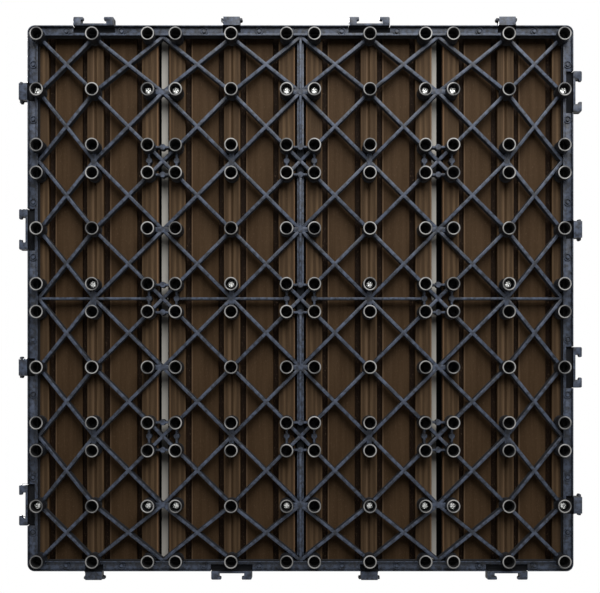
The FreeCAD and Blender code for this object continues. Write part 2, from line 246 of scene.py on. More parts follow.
SIDES = ((1, 0), (0, 1), (-1, 0), (0, -1))
for module_x in MODULES:
    for module_y in MODULES:
        middle = (2 * module_x + 1, 2 * module_y + 1)
        for number, (dx, dy) in enumerate(SIDES):
            nx, ny = SIDES[(number + 1) % 4]
            corner = (middle[0] + dx + nx, middle[1] + dy + ny)
            side = (middle[0] + dx, middle[1] + dy)
            next_side = (middle[0] + nx, middle[1] + ny)
            spoke = (rib_end(*middle), rib_end(*corner))
            diamond = (rib_end(*side), rib_end(*next_side))
            for family, (start, end) in enumerate((spoke, diamond)):
                overrun = (end - start).normalized() * RIB_THICKNESS / 2
                wall = rectangle(start - overrun, end + overrun, RIB_THICKNESS)
                level = RIB_UNDERSIDE + (2 * number + family) * LEVEL_STEP
                add_upright(grid, wall, level, SEAT_HEIGHT, RIB_ROUND)

# Between modules: a short web joins two legs, and thin links with round pads join four.
WEB_THICKNESS = 3.0
LINK_THICKNESS = 1.5
PAD_RADIUS = 1.75
PAD_SEGMENTS = 20
HALF_CLUSTER = MODULE_PITCH / 2 - LEG_SPACING
LINK_LEVEL = RIB_UNDERSIDE - 2 * LEVEL_STEP
PAD_PROFILE = [
    (0, SEAT_HEIGHT),
    (PAD_RADIUS, SEAT_HEIGHT),
    (PAD_RADIUS - 0.1, RIB_UNDERSIDE + 0.1),
    (PAD_RADIUS - 0.3, RIB_UNDERSIDE - 0.1),
    (0, RIB_UNDERSIDE - 0.1),
]
boundaries = (-MODULE_PITCH, 0.0, MODULE_PITCH)
for boundary in boundaries:
    reach = (boundary - HALF_CLUSTER, boundary + HALF_CLUSTER)
    for module in MODULES:
        along = module_centre(module)
        for wall in (
            rectangle((reach[0], along), (reach[1], along), WEB_THICKNESS),
            rectangle((along, reach[0]), (along, reach[1]), WEB_THICKNESS),
        ):
            add_upright(grid, wall, LINK_LEVEL, SEAT_HEIGHT)
        add_turned(grid, (boundary, along), PAD_PROFILE, PAD_SEGMENTS)
        add_turned(grid, (along, boundary), PAD_PROFILE, PAD_SEGMENTS)
    for other in boundaries:
        for side in (-1, 1):
            across = other + side * HALF_CLUSTER
            for wall in (
                rectangle((reach[0], across), (reach[1], across), LINK_THICKNESS),
                rectangle((across, reach[0]), (across, reach[1]), LINK_THICKNESS),
            ):
                add_upright(grid, wall, LINK_LEVEL, SEAT_HEIGHT)
            add_turned(grid, (boundary, across), PAD_PROFILE, PAD_SEGMENTS)
            add_turned(grid, (across, boundary), PAD_PROFILE, PAD_SEGMENTS)

# Rails on both middle lines, and a flat strip behind the lengthways one that closes the gap.
RAIL_THICKNESS = 1.6
STRIP_WIDTH = 3.9
STRIP_UNDERSIDE = 8.0
for module in MODULES:
    start = module_centre(module) - LEG_SPACING
    end = module_centre(module) + LEG_SPACING
    if module == MODULES[0]:
        start = -RIM_INSIDE - RIM_WALL / 2
    if module == MODULES[-1]:
        end = RIM_INSIDE + RIM_WALL / 2
    for wall in (
        rectangle((start, 0), (end, 0), RAIL_THICKNESS),
        rectangle((0, start), (0, end), RAIL_THICKNESS),
    ):
        add_upright(grid, wall, RIB_UNDERSIDE + 9 * LEVEL_STEP, SEAT_HEIGHT)
strip = rectangle((0, -RIM_INSIDE - RIM_WALL / 2), (0, RIM_INSIDE + RIM_WALL / 2), STRIP_WIDTH)
add_upright(grid, strip, STRIP_UNDERSIDE, SEAT_HEIGHT, THIN_WALL_ROUND)

# Rim, one side at a time: two thin walls with a channel between them, open pockets behind the
# connectors, and round ejector marks on the channel's floor.
FLOOR_INSET = 0.2
POCKET_INSIDE = HALF_TILE - 3.5
POCKET_ROOF = 8.0
POCKET_ROOM = 0.1
CONNECTOR_ROOT = HALF_TILE - RIM_WALL / 2
HOOK_INSIDE = 6.75
HOOK_OUTSIDE = 11.15
HOOK_TIP = HALF_TILE + 4.6
BACK_PLATE = 1.15
BACK_PLATE_INSET = 1.0
BARB = 1.25
BARB_ROOT = HOOK_TIP - 2.0
HOOK_BARB_TOP = 6.7
TONGUE_HALF = 4.7
TONGUE_FLARE = 0.3
TONGUE_TIP = HALF_TILE + 4.8
TONGUE_BARB = 1.2
TONGUE_BARB_ROOT = TONGUE_TIP - 1.95
TONGUE_BARB_UNDERSIDE = 6.8
BARB_ROUND = 0.2
corner_middle = HALF_TILE - CORNER_RADIUS
corner_arc = [math.radians(angle) for angle in range(0, 91, 15)]


def corner_points(radius):
    """Quarter circle around the corner's middle, from the +X side to the +Y side."""
    return [(corner_middle + radius * math.cos(a), corner_middle + radius * math.sin(a))
            for a in corner_arc]


corner_wall = corner_points(CORNER_RADIUS) + corner_points(CORNER_RADIUS - RIM_WALL)[::-1]
floor_inside = RIM_INSIDE + FLOOR_INSET
floor_outside = HALF_TILE - FLOOR_INSET
corner_floor = [(floor_inside, floor_inside), (floor_outside, floor_inside)]
corner_floor += corner_points(CORNER_RADIUS - FLOOR_INSET) + [(floor_inside, floor_outside)]
EJECTOR_RING = [(1.6, 6.6), (1.6, 6.0), (1.7, 5.9), (1.95, 5.9), (2.05, 6.0), (2.05, 6.6)]
EJECTOR_BOSS = [(0, 6.6), (1.0, 6.6), (1.0, 5.8), (0.85, 5.65), (0, 5.65)]
EJECTOR_RING_SEGMENTS = 20
EJECTOR_BOSS_SEGMENTS = 16


def add_side_wall(start, end, inside, outside, level, turn):
    """Thin wall of the rim between two places along one side."""
    outline = box_outline(start, inside, end, outside)
    add_upright(grid, outline, level, SEAT_HEIGHT, THIN_WALL_ROUND, turn)


def add_outer_stretch(start, end, step, turn):
    """Outer wall of the rim, and the channel's floor beside it, between two pockets."""
    add_side_wall(start, end, CHANNEL_OUTSIDE, HALF_TILE, RIM_UNDERSIDE + step / 2, turn)
    floor = box_outline(start, POCKET_INSIDE - RIM_WALL / 2, end, floor_outside)
    level = CHANNEL_FLOOR + step + LEVEL_STEP / 2
    add_upright(grid, floor, level, SEAT_HEIGHT, FLOOR_ROUND, turn)


def add_pocket_roof(along, half, turn):
    """Thin roof over the open pocket behind a connector."""
    roof_half = half + RIM_WALL
    roof = box_outline(along - roof_half, POCKET_INSIDE - RIM_WALL, along + roof_half, HALF_TILE)
    add_upright(grid, roof, POCKET_ROOF, SEAT_HEIGHT, turn=turn)


def add_barb(back, tip, near, far, underside, top, turn):
    """Catch on a hook or tongue, from its back inside the wall to its tip."""
    barb = rounded_outline([
        (back, near - 0.4, 0.1),
        (tip, near + 0.3, 0.6),
        (tip, far, 0.6),
        (back, far - 0.05, 0.1),
    ][::1 if tip > back else -1])
    add_upright(grid, barb, underside, top, BARB_ROUND, turn)


def add_socket(along, turn):
    """Back plate with two hooks, whose barbs point at each other."""
    plate_half = HOOK_OUTSIDE - BACK_PLATE_INSET
    plate = box_outline(
        along - plate_half, CONNECTOR_ROOT, along + plate_half, HALF_TILE + BACK_PLATE)
    add_upright(grid, plate, RIM_UNDERSIDE + 3 * LEVEL_STEP, SEAT_HEIGHT, turn=turn)
    for side in (-1, 1):
        inside = along + side * HOOK_INSIDE
        outside = along + side * HOOK_OUTSIDE
        hook = rounded_outline([
            (inside, CONNECTOR_ROOT, 0.5),
            (outside, CONNECTOR_ROOT, 0.5),
            (outside, HOOK_TIP, 0.9),
            (inside, HOOK_TIP, 0.5),
        ][::side])
        add_upright(grid, hook, RIM_UNDERSIDE + LEVEL_STEP, SEAT_HEIGHT, turn=turn)
        add_barb(inside + side, inside - side * BARB, BARB_ROOT, HOOK_TIP,
                 RIM_UNDERSIDE + 0.1, HOOK_BARB_TOP, turn)


def add_tongue(along, turn):
    """Block that flares out at its root, with a barb at each side of its tip."""
    tongue = rounded_outline([
        (along - TONGUE_HALF - TONGUE_FLARE, CONNECTOR_ROOT, 0.1),
        (along + TONGUE_HALF + TONGUE_FLARE, CONNECTOR_ROOT, 0.1),
        (along + TONGUE_HALF, CONNECTOR_ROOT + 1.2, 0.8),
        (along + TONGUE_HALF, TONGUE_TIP, 0.5),
        (along - TONGUE_HALF, TONGUE_TIP, 0.5),
        (along - TONGUE_HALF, CONNECTOR_ROOT + 1.2, 0.8),
    ])
    add_upright(grid, tongue, RIM_UNDERSIDE, SEAT_HEIGHT, turn=turn)
    for side in (-1, 1):
        face = along + side * TONGUE_HALF
        add_barb(face - side, face + side * TONGUE_BARB, TONGUE_BARB_ROOT, TONGUE_TIP,
                 TONGUE_BARB_UNDERSIDE, SEAT_HEIGHT, turn)


# Place along the side, half width of the pocket, and what stands there.
CONNECTORS = (
    (module_centre(-2), TONGUE_HALF + POCKET_ROOM, add_tongue),
    (module_centre(-1), HOOK_OUTSIDE + POCKET_ROOM, add_socket),
    (module_centre(0), TONGUE_HALF + POCKET_ROOM, add_tongue),
    (module_centre(1), HOOK_OUTSIDE + POCKET_ROOM, add_socket),
)
for quarter_turns in range(4):
    turn = Matrix.Rotation(quarter_turns * math.pi / 2, 4, "Z")
    step = quarter_turns % 2 * LEVEL_STEP
    add_side_wall(-CHANNEL_INSIDE, CHANNEL_INSIDE, RIM_INSIDE, CHANNEL_INSIDE,
                  RIM_UNDERSIDE + step, turn)
    add_upright(grid, corner_wall, RIM_UNDERSIDE + LEVEL_STEP, SEAT_HEIGHT, THIN_WALL_ROUND, turn)
    add_upright(grid, corner_floor, CHANNEL_FLOOR + 3 * LEVEL_STEP, SEAT_HEIGHT, FLOOR_ROUND, turn)
    floor = box_outline(-CHANNEL_INSIDE, floor_inside, CHANNEL_INSIDE, POCKET_INSIDE)
    add_upright(grid, floor, CHANNEL_FLOOR + step, SEAT_HEIGHT, FLOOR_ROUND, turn)
    start = -corner_middle - RIM_WALL / 2
    for along, half, add_connector in CONNECTORS:
        add_outer_stretch(start, along - half, step, turn)
        add_pocket_roof(along, half, turn)
        add_connector(along, turn)
        start = along + half
    add_outer_stretch(start, corner_middle + RIM_WALL / 2, step, turn)
    # Round ejector marks stand in the channel halfway between its legs.
    for module in MODULES:
        for side in (-1, 1):
            place = (module_centre(module) + side * LEG_SPACING / 2,
                     (CHANNEL_INSIDE + CHANNEL_OUTSIDE) / 2)
            add_turned(grid, place, EJECTOR_RING, EJECTOR_RING_SEGMENTS, turn)
            add_turned(grid, place, EJECTOR_BOSS, EJECTOR_BOSS_SEGMENTS, turn)


def new_material(name, roughness, metallic=0.0):
    """Principled material with its node tree ready to build on."""
    material = bpy.data.materials.new(name)
    material.use_nodes = True
    shader = material.node_tree.nodes["Principled BSDF"]
    shader.inputs["Roughness"].default_value = roughness
    shader.inputs["Metallic"].default_value = metallic
    return material, material.node_tree.nodes, material.node_tree.links, shader


def colour(red, green, blue):
    """Screen colour from 0 to 255 as the linear colour that a shader takes."""
    return tuple(((c / 255 + 0.055) / 1.055) ** 2.4 if c > 10 else c / 3294.6
                 for c in (red, green, blue)) + (1.0,)


def add_node(nodes, kind, inputs=None, **settings):
    """Node with its settings and its unlinked inputs."""
    node = nodes.new(kind)
    for name, value in settings.items():
        setattr(node, name, value)
    for name, value in (inputs or {}).items():
        node.inputs[name].default_value = value
    return node


def blend(nodes, links, mask, first, second):
    """Colour that goes from the first to the second as the mask goes from 0 to 1."""
    mix = add_node(nodes, "ShaderNodeMix", data_type="RGBA")
    links.new(mask, mix.inputs["Factor"])
    for value, socket in ((first, mix.inputs["A"]), (second, mix.inputs["B"])):
        if isinstance(value, tuple):
            socket.default_value = value
        else:
            links.new(value, socket)
    return mix.outputs["Result"]


def fine_grain_group():
    """Node group: mottling and a fine uneven surface, stretched by a scale along each axis."""
    tree = bpy.data.node_groups.new("Fine grain", "ShaderNodeTree")
    for name, kind, value in (
        ("Stretch", "NodeSocketVector", (1.0, 1.0, 1.0)),
        ("Mottle size", "NodeSocketFloat", 200.0),
        ("Grain size", "NodeSocketFloat", 1500.0),
    ):
        tree.interface.new_socket(name, in_out="INPUT", socket_type=kind).default_value = value
    tree.interface.new_socket("Mottle", in_out="OUTPUT", socket_type="NodeSocketFloat")
    tree.interface.new_socket("Grain", in_out="OUTPUT", socket_type="NodeSocketFloat")
    nodes, links = tree.nodes, tree.links
    entry = nodes.new("NodeGroupInput")
    leave = nodes.new("NodeGroupOutput")
    place = nodes.new("ShaderNodeTexCoord")
    stretched = add_node(nodes, "ShaderNodeVectorMath", operation="MULTIPLY")
    links.new(place.outputs["Object"], stretched.inputs[0])
    links.new(entry.outputs["Stretch"], stretched.inputs[1])
    for size, out, detail in (("Mottle size", "Mottle", 3.0), ("Grain size", "Grain", 2.0)):
        noise = add_node(nodes, "ShaderNodeTexNoise", {"Detail": detail, "Roughness": 0.6})
        links.new(stretched.outputs[0], noise.inputs["Vector"])
        links.new(entry.outputs[size], noise.inputs["Scale"])
        links.new(noise.outputs["Fac"], leave.inputs[out])
    return tree


fine_grain = fine_grain_group()


def add_grain(nodes, stretch, mottle_size, grain_size):
    """The fine grain group with this material's own values."""
    values = {"Stretch": stretch, "Mottle size": mottle_size, "Grain size": grain_size}
    return add_node(nodes, "ShaderNodeGroup", values, node_tree=fine_grain)


def add_bump(nodes, links, shader, height, strength, distance):
    """Small relief on the surface."""
    bump = add_node(nodes, "ShaderNodeBump", {"Strength": strength, "Distance": distance})
    links.new(height, bump.inputs["Height"])
    links.new(bump.outputs["Normal"], shader.inputs["Normal"])


def add_range(nodes, links, value, low, high):
    """Mask that goes from 0 at the low value to 1 at the high one."""
    limits = {"From Min": low, "From Max": high}
    spread = add_node(nodes, "ShaderNodeMapRange", limits, interpolation_type="SMOOTHSTEP")
    links.new(value, spread.inputs["Value"])
    return spread.outputs["Result"]


def add_fade(nodes, links, value, fade):
    """Mask over a stretch given in millimetres: 0 at its first end, 1 at its second."""
    return add_range(nodes, links, value, fade[0] * MM, fade[1] * MM)


def math_node(nodes, links, operation, *values):
    """One sum on one or two values, each a number or a socket."""
    node = add_node(nodes, "ShaderNodeMath", operation=operation)
    for i, value in enumerate(values):
        if isinstance(value, (int, float)):
            node.inputs[i].default_value = value
        else:
            links.new(value, node.inputs[i])
    return node.outputs[0]


def part_axes(nodes, links):
    """Place on the piece and direction of its surface, each split into X, Y and Z."""
    place = nodes.new("ShaderNodeTexCoord")
    surface = nodes.new("ShaderNodeNewGeometry")
    axes = nodes.new("ShaderNodeSeparateXYZ")
    normal = nodes.new("ShaderNodeSeparateXYZ")
    links.new(place.outputs["Object"], axes.inputs[0])
    links.new(surface.outputs["Normal"], normal.inputs[0])
    return place.outputs["Object"], axes.outputs, normal.outputs


def from_module_middle(nodes, links, coordinate):
    """Distance from the middle line of a module, as a share of the pitch."""
    modules = math_node(nodes, links, "DIVIDE", coordinate, MODULE_PITCH * MM)
    share = math_node(nodes, links, "FRACT", modules)
    offset = math_node(nodes, links, "SUBTRACT", share, 0.5)
    return math_node(nodes, links, "ABSOLUTE", offset)


# Stretches over which the painted sheen, the painted shade and the leg ends' wear with its painted
# highlight fade, in millimetres, and beside the rail in module pitches.
SHEEN_DEPTH_FADE = (6.9, 6.7)
STRIP_EDGE_FADE = (2.5, 2.2)
LEG_CLUSTER_FADE = (0.42, 0.40)
LEG_END_FADE = (0.32, 0.1)
BORE_MOUTH_FADE = (0.2, 0.5)
# A bore's mask reaches this many times its radius, fading between the two.
BORE_REACH = (1.06, 1.02)


def painted_sheen_reach(nodes, links, axes):
    """Mask of what lies near the ground, which takes the painted sheen. Pockets and the strip in the
    middle gap lie deeper and stay dark as painted shade, but for the lengths of the strip beside the
    rail, which take the sheen too."""
    shallow = add_fade(nodes, links, axes["Z"], SHEEN_DEPTH_FADE)
    from_line = math_node(nodes, links, "ABSOLUTE", axes["X"])
    on_strip = add_fade(nodes, links, from_line, STRIP_EDGE_FADE)
    along = from_module_middle(nodes, links, axes["Y"])
    between_clusters = add_range(nodes, links, along, *LEG_CLUSTER_FADE)
    beside_rail = math_node(nodes, links, "MULTIPLY", on_strip, between_clusters)
    return math_node(nodes, links, "MAXIMUM", shallow, beside_rail)


def inside_bores(nodes, links, axes):
    """Mask of the legs' bores, from the distance to the nearest leg's axis."""
    squares = []
    for axis in ("X", "Y"):
        from_middle = from_module_middle(nodes, links, axes[axis])
        beyond_outer = math_node(nodes, links, "SUBTRACT", from_middle, LEG_SPACING / MODULE_PITCH)
        from_outer = math_node(nodes, links, "ABSOLUTE", beyond_outer)
        nearest = math_node(nodes, links, "MINIMUM", from_middle, from_outer)
        squares.append(math_node(nodes, links, "POWER", nearest, 2))
    square = math_node(nodes, links, "ADD", *squares)
    edges = [(reach * BORE_RADIUS / MODULE_PITCH) ** 2 for reach in BORE_REACH]
    near_axis = add_range(nodes, links, square, *edges)
    above_mouth = add_fade(nodes, links, axes["Z"], BORE_MOUTH_FADE)
    return math_node(nodes, links, "MULTIPLY", near_axis, above_mouth)


def black_polypropylene():
    """Black plastic: a painted grey sheen on the downward faces near the ground, painted shade in
    the bores, and leg ends pale from wear and a painted highlight.
    """
    material, nodes, links, shader = new_material("Black polypropylene", 0.5)
    grain = add_grain(nodes, (1.0, 1.0, 1.0), 420.0, 2600.0)
    mottle = grain.outputs["Mottle"]
    place, axes, normal = part_axes(nodes, links)
    plain_black = blend(nodes, links, mottle, colour(9, 10, 12), colour(22, 24, 29))
    patches = add_range(nodes, links, mottle, 0.3, 0.7)
    # Painted sheen: the downward faces near the ground, which face the lamp below, are painted grey,
    # while walls and deep faces stay black as painted shade.
    painted_sheen = blend(nodes, links, patches, colour(20, 24, 31), colour(76, 85, 103))
    downward = add_range(nodes, links, normal["Z"], -0.5, -0.95)
    sheen_reach = painted_sheen_reach(nodes, links, axes)
    sheen_mask = math_node(nodes, links, "MULTIPLY", downward, sheen_reach)
    with_sheen = blend(nodes, links, sheen_mask, plain_black, painted_sheen)
    # The leg ends are painted pale, partly as rubbed wear and partly as a painted highlight on their
    # rounded edges.
    uneven = add_node(nodes, "ShaderNodeTexNoise", {"Scale": 90.0, "Detail": 2.0})
    links.new(place, uneven.inputs["Vector"])
    wear_and_glint = add_range(nodes, links, uneven.outputs["Fac"], 0.35, 0.65)
    rubbed_and_highlight = blend(nodes, links, wear_and_glint, colour(84, 84, 84), colour(180, 179, 177))
    leg_end = add_fade(nodes, links, axes["Z"], LEG_END_FADE)
    worn_and_highlit = blend(nodes, links, leg_end, with_sheen, rubbed_and_highlight)
    # The bores are painted near-black, as painted shade deep in them.
    bores = inside_bores(nodes, links, axes)
    links.new(blend(nodes, links, bores, worn_and_highlit, colour(4, 4, 5)), shader.inputs["Base Color"])
    shader.inputs["Specular IOR Level"].default_value = 0.35
    satin = add_node(nodes, "ShaderNodeMapRange", {"To Min": 0.36, "To Max": 0.58})
    links.new(mottle, satin.inputs["Value"])
    hidden = math_node(nodes, links, "SUBTRACT", 1.0, sheen_reach)
    matt = math_node(nodes, links, "MAXIMUM", hidden, bores)
    finish = math_node(nodes, links, "MAXIMUM", satin.outputs["Result"], matt)
    links.new(finish, shader.inputs["Roughness"])
    add_bump(nodes, links, shader, grain.outputs["Grain"], 0.3, 0.06 * MM)
    return material


grid_base = make_piece(grid, "moulded_grid", black_polypropylene())
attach(grid_base, "root")
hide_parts("base_grid")


# Slats: four boards of wood-plastic composite, extruded to one profile, saw-cut at the ends and
# brushed on top. Underneath, two lands and a spine with a V notch stand clear of hollowed panels,
# and the board rests on the grid's legs, held by five screws.
SLAT_THICKNESS = 13.5
SAW_CHAMFER = 0.25
SLAT_PROFILE = (
    # distance from the spine's middle, height above the underside, radius
    (0.0, 0.7, 0.1),
    (0.7, 0.0, 0.15),
    (4.5, 0.0, 0.35),
    (4.5, 4.5, 0.4),
    (7.5, 4.5, 0.4),
    (7.5, 2.5, 0.4),
    (22.6, 2.5, 0.5),
    (22.6, 4.5, 0.4),
    (25.5, 4.5, 0.4),
    (25.5, 0.0, 0.45),
    (34.5, 0.0, 0.8),
    (34.5, SLAT_THICKNESS, 1.5),
)

# Stretches over which the composite's tones meet, in millimetres from the board's own middle.
GROOVE_SHADE_FADE = (2.7, 3.3)
LAND_FADE = (1.2, 0.3)
# Lighter lines along one edge of each panel, and a painted highlight beside the spine's notch.
LIGHTER_LINE_PLACES = (-22.2, -1.1, 7.9)
LIGHTER_LINE_FADE = (0.55, 0.25)
SIDE_FACE_FADE = (34.2, 34.4)
RUBBED_EDGE_FADE = (33.6, 34.2)
RUBBED_HEIGHT_FADE = (1.6, 0.9)


def underside_tone(nodes, links, place, axes, streaks):
    """Flat panels with grooves darkened by painted shade, lands that show the die's lines, and a few
    lighter lines, one of them a painted highlight.
    """
    flat = blend(nodes, links, streaks, colour(63, 47, 31), colour(73, 56, 39))
    # The grooves are darkened with painted shade.
    deep = add_fade(nodes, links, axes["Z"], GROOVE_SHADE_FADE)
    panel = blend(nodes, links, deep, flat, colour(28, 18, 11))
    die_lines = add_node(nodes, "ShaderNodeTexWave", {"Scale": 105.0, "Distortion": 0.6})
    links.new(place, die_lines.inputs["Vector"])
    lined = math_node(nodes, links, "MULTIPLY", streaks, die_lines.outputs["Fac"])
    land = blend(nodes, links, lined, colour(68, 53, 38), colour(106, 85, 63))
    standing = add_fade(nodes, links, axes["Z"], LAND_FADE)
    smooth = blend(nodes, links, standing, panel, land)
    # A lighter line runs along one edge of each panel; the one beside the spine's notch is a painted
    # highlight of the notch's lit wall.
    light_lines = 0.0
    for line_place in LIGHTER_LINE_PLACES:
        beyond = math_node(nodes, links, "SUBTRACT", axes["X"], line_place * MM)
        offset = math_node(nodes, links, "ABSOLUTE", beyond)
        line = add_fade(nodes, links, offset, LIGHTER_LINE_FADE)
        light_lines = math_node(nodes, links, "MAXIMUM", line, light_lines)
    return blend(nodes, links, light_lines, smooth, colour(100, 80, 61))


def wood_composite():
    """Brown composite: long streaks, plain sides and ends, rubbed lower edges, a brushed top."""
    material, nodes, links, shader = new_material("Brown wood composite", 0.62)
    grain = add_grain(nodes, (1.0, 0.04, 1.0), 420.0, 1500.0)
    place, axes, normal = part_axes(nodes, links)
    streaks = add_range(nodes, links, grain.outputs["Mottle"], 0.3, 0.72)
    under = underside_tone(nodes, links, place, axes, streaks)
    from_middle = math_node(nodes, links, "ABSOLUTE", axes["X"])
    side_face = add_fade(nodes, links, from_middle, SIDE_FACE_FADE)
    lengthways = math_node(nodes, links, "ABSOLUTE", normal["Y"])
    end_face = add_range(nodes, links, lengthways, 0.5, 0.7)
    outside = math_node(nodes, links, "MAXIMUM", side_face, end_face)
    plain = blend(nodes, links, streaks, colour(68, 53, 39), colour(92, 74, 57))
    around = blend(nodes, links, outside, under, plain)
    # Along each land's outer edge the skin is rubbed off.
    outer_edge = add_fade(nodes, links, from_middle, RUBBED_EDGE_FADE)
    lower_edge = add_fade(nodes, links, axes["Z"], RUBBED_HEIGHT_FADE)
    edge = math_node(nodes, links, "MULTIPLY", outer_edge, lower_edge)
    edged = blend(nodes, links, edge, around, colour(128, 100, 75))
    upward = add_range(nodes, links, normal["Z"], 0.2, 0.7)
    brushed = blend(nodes, links, streaks, colour(84, 67, 52), colour(114, 94, 75))
    body = blend(nodes, links, upward, edged, brushed)
    flecks = add_node(nodes, "ShaderNodeTexNoise", {"Scale": 1900.0, "Detail": 1.0})
    links.new(place, flecks.inputs["Vector"])
    fleck = add_range(nodes, links, flecks.outputs["Fac"], 0.62, 0.8)
    flecked = blend(nodes, links, fleck, body, colour(96, 78, 60))
    links.new(flecked, shader.inputs["Base Color"])
    shader.inputs["Specular IOR Level"].default_value = 0.06
    add_bump(nodes, links, shader, grain.outputs["Grain"], 0.5, 0.12 * MM)
    return material


composite = wood_composite()
other_half = [(-x, z, radius) for x, z, radius in reversed(SLAT_PROFILE[1:])]
outline = rounded_outline([*SLAT_PROFILE, *other_half])
ENDS = (
    (-HALF_TILE, SAW_CHAMFER),
    (-HALF_TILE + SAW_CHAMFER, 0.0),
    (HALF_TILE - SAW_CHAMFER, 0.0),
    (HALF_TILE, SAW_CHAMFER),
)
rings = [[(p[0], y, p[1]) for p in inset_outline(outline, inset)] for y, inset in ENDS]
for number, module in enumerate(MODULES, start=1):
    board = new_shells()
    middle = (module_centre(module), 0, SEAT_HEIGHT)
    add_stack(board, rings, Matrix.Translation(middle))
    slat = make_piece(board, f"slat_board_{number}", composite, middle)
    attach(slat, "root")
    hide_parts(f"slat_{number}")


# Screws: twenty plated steel wood screws with a low round head and a cross recess. Each goes up
# a leg's bore, through the floor of the leg, and bites into the slat above it.
HEAD_RADIUS = 2.2
HEAD_THICKNESS = 2.0
HEAD_CROWN = 0.45
SHANK_RADIUS = 1.1
THREAD_RADIUS = 1.4
THREAD_PITCH = 1.25
SHANK_END = SCREWED_FLOOR + 12.0
POINT_LENGTH = 2.4
CROSS_ARM = 1.45
CROSS_HALF_WIDTH = 0.32
CROSS_DEPTH = 1.0
CROSS_NARROWING = 0.6
SHANK_SEGMENTS = 16
LOOPS_PER_TURN = 4
POINT_END = 0.05
# Degrees that each screw's recess is turned on from the one before.
RECESS_STEP = 37
head_underside = SCREWED_FLOOR - HEAD_THICKNESS
arm_corner = math.atan2(CROSS_HALF_WIDTH, CROSS_ARM)
quadrant = [0, arm_corner, math.radians(27), math.pi / 4, math.radians(63), math.pi / 2 - arm_corner]
head_angles = [quarter * math.pi / 2 + angle for quarter in range(4) for angle in quadrant]


def cross_radius(angle):
    """Distance from the middle to the edge of a cross recess along one direction."""
    across, along = sorted((abs(math.sin(angle)), abs(math.cos(angle))))
    arm_end = CROSS_ARM / along
    arm_side = CROSS_HALF_WIDTH / max(across, 0.001)
    return min(arm_end, arm_side)


def add_screw(shells, x, y, turned):
    """One screw, its head down, with its recess turned by an angle."""
    place = Matrix.Translation((x, y, 0)) @ Matrix.Rotation(turned, 4, "Z")

    def ring(radius_at, height):
        return [(radius_at(a) * math.cos(a), radius_at(a) * math.sin(a), height)
                for a in head_angles]

    rings = [
        ring(lambda a: THREAD_RADIUS, SCREWED_FLOOR),
        ring(lambda a: HEAD_RADIUS, SCREWED_FLOOR),
        ring(lambda a: HEAD_RADIUS, head_underside + 0.9),
        ring(lambda a: HEAD_RADIUS - 0.12, head_underside + HEAD_CROWN),
        ring(lambda a: HEAD_RADIUS - 0.55, head_underside + 0.12),
        ring(lambda a: max(cross_radius(a) + 0.12, 0.9), head_underside),
        ring(cross_radius, head_underside + 0.05),
        ring(lambda a: CROSS_NARROWING * cross_radius(a), head_underside + CROSS_DEPTH),
    ]
    add_stack(shells, rings, place)
    # Threaded shank: a helical ridge over a plain core, run down to a point.
    turns = (SHANK_END - SCREWED_FLOOR) / THREAD_PITCH
    loops = []
    for i in range(int(turns * LOOPS_PER_TURN) + 1):
        height = SCREWED_FLOOR + i * THREAD_PITCH / LOOPS_PER_TURN
        taper = max(min(1.0, (SHANK_END - height) / POINT_LENGTH), POINT_END)
        loop = []
        for j in range(SHANK_SEGMENTS):
            angle = math.tau * j / SHANK_SEGMENTS
            wave = 0.5 + 0.5 * math.cos(math.tau * (i / LOOPS_PER_TURN) - angle)
            radius = (SHANK_RADIUS + (THREAD_RADIUS - SHANK_RADIUS) * wave ** 2) * taper
            loop.append((radius * math.cos(angle), radius * math.sin(angle), height))
        loops.append(loop)
    add_stack(shells, loops, place)


def plated_steel():
    """Bright zinc plate with small scratches."""
    material, nodes, links, shader = new_material("Zinc-plated steel", 0.34, 0.85)
    grain = add_grain(nodes, (1.0, 1.0, 1.0), 900.0, 4000.0)
    tone = blend(nodes, links, grain.outputs["Mottle"], colour(188, 190, 190), colour(236, 236, 232))
    links.new(tone, shader.inputs["Base Color"])
    add_bump(nodes, links, shader, grain.outputs["Grain"], 0.2, 0.03 * MM)
    return material


fasteners = new_shells()
for number, (x, y) in enumerate(SCREW_PLACES):
    add_screw(fasteners, x, y, math.radians(RECESS_STEP * number % 90))
screws = make_piece(fasteners, "plated_screws", plated_steel())
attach(screws, "root")
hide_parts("screws")


# Studio: a sheet of pale paper as the ground under the legs, and strips in the gaps between the
# boards for the view from below: dark strips of painted shade, and narrower pale paper ones. The
# camera sees each from one side only, and the ground lets all light by, so that the lamp below
# reaches the legs.
PAPER_ROUGHNESS = 0.9
GROUND_HALF = 6000.0
GROUND_DEPTH = 0.5
HALF_GAP = 3.0
STRIP_HALF_LENGTH = 148.0
PALE_STRIP_HEIGHT = 14.0
SHADE_STRIP_HEIGHT = 14.2
# The pale strips are narrower than the gaps, so that dark margins of painted shadow stay beside
# them.
LEFT_PALE_STRIP = (-76.7, -73.1)
RIGHT_PALE_STRIP = (72.3, 75.1)


